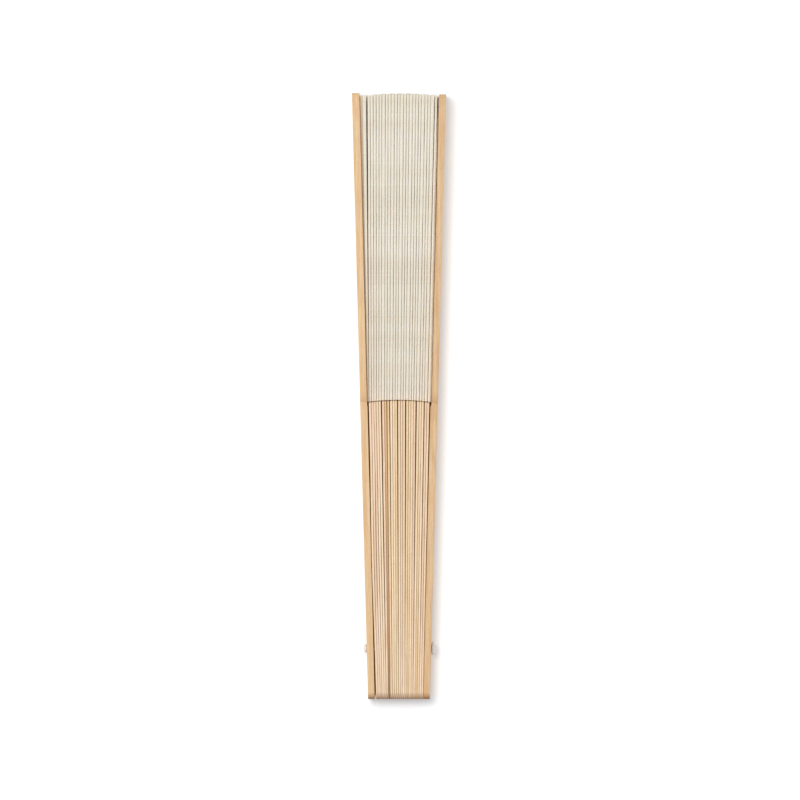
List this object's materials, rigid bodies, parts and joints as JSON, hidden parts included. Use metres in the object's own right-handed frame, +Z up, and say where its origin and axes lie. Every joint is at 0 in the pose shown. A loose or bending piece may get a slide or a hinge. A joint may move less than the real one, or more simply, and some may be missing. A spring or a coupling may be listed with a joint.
{
  "type": "folding hand fan",
  "caption": "Closed folding hand fan: thin bamboo ribs between two stout guards, turning on one rivet, with a pleated paper leaf.",
  "frame": {"origin": "under the middle of the closed fan, on the surface that it lies on", "axes": "+X through the stack of sticks towards the rivet's head, +Y along the sticks from the tail to the leaf, +Z up, along the width of the sticks"},
  "size_m": [0.0357, 0.23, 0.0165],
  "materials": {
    "guard_bamboo": "satin",
    "rib_bamboo": "matte",
    "leaf_paper": "matte",
    "rivet_plastic": "satin"
  },
  "bodies": {
    "guard_left": {"guard_left": "guard_bamboo", "rivet": "rivet_plastic", "leaf_pleat_00": "leaf_paper"},
    "rib_01": {"rib_01": "rib_bamboo", "leaf_pleat_01": "leaf_paper"},
    "rib_02": {"rib_02": "rib_bamboo", "leaf_pleat_02": "leaf_paper"},
    "rib_03": {"rib_03": "rib_bamboo", "leaf_pleat_03": "leaf_paper"},
    "rib_04": {"rib_04": "rib_bamboo", "leaf_pleat_04": "leaf_paper"},
    "rib_05": {"rib_05": "rib_bamboo", "leaf_pleat_05": "leaf_paper"},
    "rib_06": {"rib_06": "rib_bamboo", "leaf_pleat_06": "leaf_paper"},
    "rib_07": {"rib_07": "rib_bamboo", "leaf_pleat_07": "leaf_paper"},
    "rib_08": {"rib_08": "rib_bamboo", "leaf_pleat_08": "leaf_paper"},
    "rib_09": {"rib_09": "rib_bamboo", "leaf_pleat_09": "leaf_paper"},
    "rib_10": {"rib_10": "rib_bamboo", "leaf_pleat_10": "leaf_paper"},
    "rib_11": {"rib_11": "rib_bamboo", "leaf_pleat_11": "leaf_paper"},
    "rib_12": {"rib_12": "rib_bamboo", "leaf_pleat_12": "leaf_paper"},
    "rib_13": {"rib_13": "rib_bamboo", "leaf_pleat_13": "leaf_paper"},
    "rib_14": {"rib_14": "rib_bamboo", "leaf_pleat_14": "leaf_paper"},
    "rib_15": {"rib_15": "rib_bamboo", "leaf_pleat_15": "leaf_paper"},
    "rib_16": {"rib_16": "rib_bamboo", "leaf_pleat_16": "leaf_paper"},
    "rib_17": {"rib_17": "rib_bamboo", "leaf_pleat_17": "leaf_paper"},
    "rib_18": {"rib_18": "rib_bamboo", "leaf_pleat_18": "leaf_paper"},
    "rib_19": {"rib_19": "rib_bamboo", "leaf_pleat_19": "leaf_paper"},
    "rib_20": {"rib_20": "rib_bamboo", "leaf_pleat_20": "leaf_paper"},
    "rib_21": {"rib_21": "rib_bamboo", "leaf_pleat_21": "leaf_paper"},
    "rib_22": {"rib_22": "rib_bamboo", "leaf_pleat_22": "leaf_paper"},
    "rib_23": {"rib_23": "rib_bamboo", "leaf_pleat_23": "leaf_paper"},
    "guard_right": {"guard_right": "guard_bamboo", "leaf_end_panel": "leaf_paper"}
  },
  "joints": [
    {"name": "open_rib_01", "type": "hinge", "parent": "guard_left", "child": "rib_01", "pos_m": [0, -0.096, 0.00641], "axis": [1, 0, 0], "range_deg": [0, 7.45]},
    {"name": "open_rib_02", "type": "hinge", "parent": "rib_01", "child": "rib_02", "pos_m": [0, -0.096, 0.00641], "axis": [1, 0, 0], "range_deg": [0, 7.45]},
    {"name": "open_rib_03", "type": "hinge", "parent": "rib_02", "child": "rib_03", "pos_m": [0, -0.096, 0.00641], "axis": [1, 0, 0], "range_deg": [0, 7.45]},
    {"name": "open_rib_04", "type": "hinge", "parent": "rib_03", "child": "rib_04", "pos_m": [0, -0.096, 0.00641], "axis": [1, 0, 0], "range_deg": [0, 7.45]},
    {"name": "open_rib_05", "type": "hinge", "parent": "rib_04", "child": "rib_05", "pos_m": [0, -0.096, 0.00641], "axis": [1, 0, 0], "range_deg": [0, 7.45]},
    {"name": "open_rib_06", "type": "hinge", "parent": "rib_05", "child": "rib_06", "pos_m": [0, -0.096, 0.00641], "axis": [1, 0, 0], "range_deg": [0, 7.45]},
    {"name": "open_rib_07", "type": "hinge", "parent": "rib_06", "child": "rib_07", "pos_m": [0, -0.096, 0.00641], "axis": [1, 0, 0], "range_deg": [0, 7.45]},
    {"name": "open_rib_08", "type": "hinge", "parent": "rib_07", "child": "rib_08", "pos_m": [0, -0.096, 0.00641], "axis": [1, 0, 0], "range_deg": [0, 7.45]},
    {"name": "open_rib_09", "type": "hinge", "parent": "rib_08", "child": "rib_09", "pos_m": [0, -0.096, 0.00641], "axis": [1, 0, 0], "range_deg": [0, 7.45]},
    {"name": "open_rib_10", "type": "hinge", "parent": "rib_09", "child": "rib_10", "pos_m": [0, -0.096, 0.00641], "axis": [1, 0, 0], "range_deg": [0, 7.45]},
    {"name": "open_rib_11", "type": "hinge", "parent": "rib_10", "child": "rib_11", "pos_m": [0, -0.096, 0.00641], "axis": [1, 0, 0], "range_deg": [0, 7.45]},
    {"name": "open_rib_12", "type": "hinge", "parent": "rib_11", "child": "rib_12", "pos_m": [0, -0.096, 0.00641], "axis": [1, 0, 0], "range_deg": [0, 7.45]},
    {"name": "open_rib_13", "type": "hinge", "parent": "rib_12", "child": "rib_13", "pos_m": [0, -0.096, 0.00641], "axis": [1, 0, 0], "range_deg": [0, 7.45]},
    {"name": "open_rib_14", "type": "hinge", "parent": "rib_13", "child": "rib_14", "pos_m": [0, -0.096, 0.00641], "axis": [1, 0, 0], "range_deg": [0, 7.45]},
    {"name": "open_rib_15", "type": "hinge", "parent": "rib_14", "child": "rib_15", "pos_m": [0, -0.096, 0.00641], "axis": [1, 0, 0], "range_deg": [0, 7.45]},
    {"name": "open_rib_16", "type": "hinge", "parent": "rib_15", "child": "rib_16", "pos_m": [0, -0.096, 0.00641], "axis": [1, 0, 0], "range_deg": [0, 7.45]},
    {"name": "open_rib_17", "type": "hinge", "parent": "rib_16", "child": "rib_17", "pos_m": [0, -0.096, 0.00641], "axis": [1, 0, 0], "range_deg": [0, 7.45]},
    {"name": "open_rib_18", "type": "hinge", "parent": "rib_17", "child": "rib_18", "pos_m": [0, -0.096, 0.00641], "axis": [1, 0, 0], "range_deg": [0, 7.45]},
    {"name": "open_rib_19", "type": "hinge", "parent": "rib_18", "child": "rib_19", "pos_m": [0, -0.096, 0.00641], "axis": [1, 0, 0], "range_deg": [0, 7.45]},
    {"name": "open_rib_20", "type": "hinge", "parent": "rib_19", "child": "rib_20", "pos_m": [0, -0.096, 0.00641], "axis": [1, 0, 0], "range_deg": [0, 7.45]},
    {"name": "open_rib_21", "type": "hinge", "parent": "rib_20", "child": "rib_21", "pos_m": [0, -0.096, 0.00641], "axis": [1, 0, 0], "range_deg": [0, 7.45]},
    {"name": "open_rib_22", "type": "hinge", "parent": "rib_21", "child": "rib_22", "pos_m": [0, -0.096, 0.00641], "axis": [1, 0, 0], "range_deg": [0, 7.45]},
    {"name": "open_rib_23", "type": "hinge", "parent": "rib_22", "child": "rib_23", "pos_m": [0, -0.096, 0.00641], "axis": [1, 0, 0], "range_deg": [0, 7.45]},
    {"name": "open_guard_right", "type": "hinge", "parent": "rib_23", "child": "guard_right", "pos_m": [0, -0.096, 0.00641], "axis": [1, 0, 0], "range_deg": [0, 7.45]}
  ],
  "couplings": [
    {"joint": "open_rib_02", "follows": "open_rib_01", "ratio": 1},
    {"joint": "open_rib_03", "follows": "open_rib_01", "ratio": 1},
    {"joint": "open_rib_04", "follows": "open_rib_01", "ratio": 1},
    {"joint": "open_rib_05", "follows": "open_rib_01", "ratio": 1},
    {"joint": "open_rib_06", "follows": "open_rib_01", "ratio": 1},
    {"joint": "open_rib_07", "follows": "open_rib_01", "ratio": 1},
    {"joint": "open_rib_08", "follows": "open_rib_01", "ratio": 1},
    {"joint": "open_rib_09", "follows": "open_rib_01", "ratio": 1},
    {"joint": "open_rib_10", "follows": "open_rib_01", "ratio": 1},
    {"joint": "open_rib_11", "follows": "open_rib_01", "ratio": 1},
    {"joint": "open_rib_12", "follows": "open_rib_01", "ratio": 1},
    {"joint": "open_rib_13", "follows": "open_rib_01", "ratio": 1},
    {"joint": "open_rib_14", "follows": "open_rib_01", "ratio": 1},
    {"joint": "open_rib_15", "follows": "open_rib_01", "ratio": 1},
    {"joint": "open_rib_16", "follows": "open_rib_01", "ratio": 1},
    {"joint": "open_rib_17", "follows": "open_rib_01", "ratio": 1},
    {"joint": "open_rib_18", "follows": "open_rib_01", "ratio": 1},
    {"joint": "open_rib_19", "follows": "open_rib_01", "ratio": 1},
    {"joint": "open_rib_20", "follows": "open_rib_01", "ratio": 1},
    {"joint": "open_rib_21", "follows": "open_rib_01", "ratio": 1},
    {"joint": "open_rib_22", "follows": "open_rib_01", "ratio": 1},
    {"joint": "open_rib_23", "follows": "open_rib_01", "ratio": 1},
    {"joint": "open_guard_right", "follows": "open_rib_01", "ratio": 1}
  ]
}
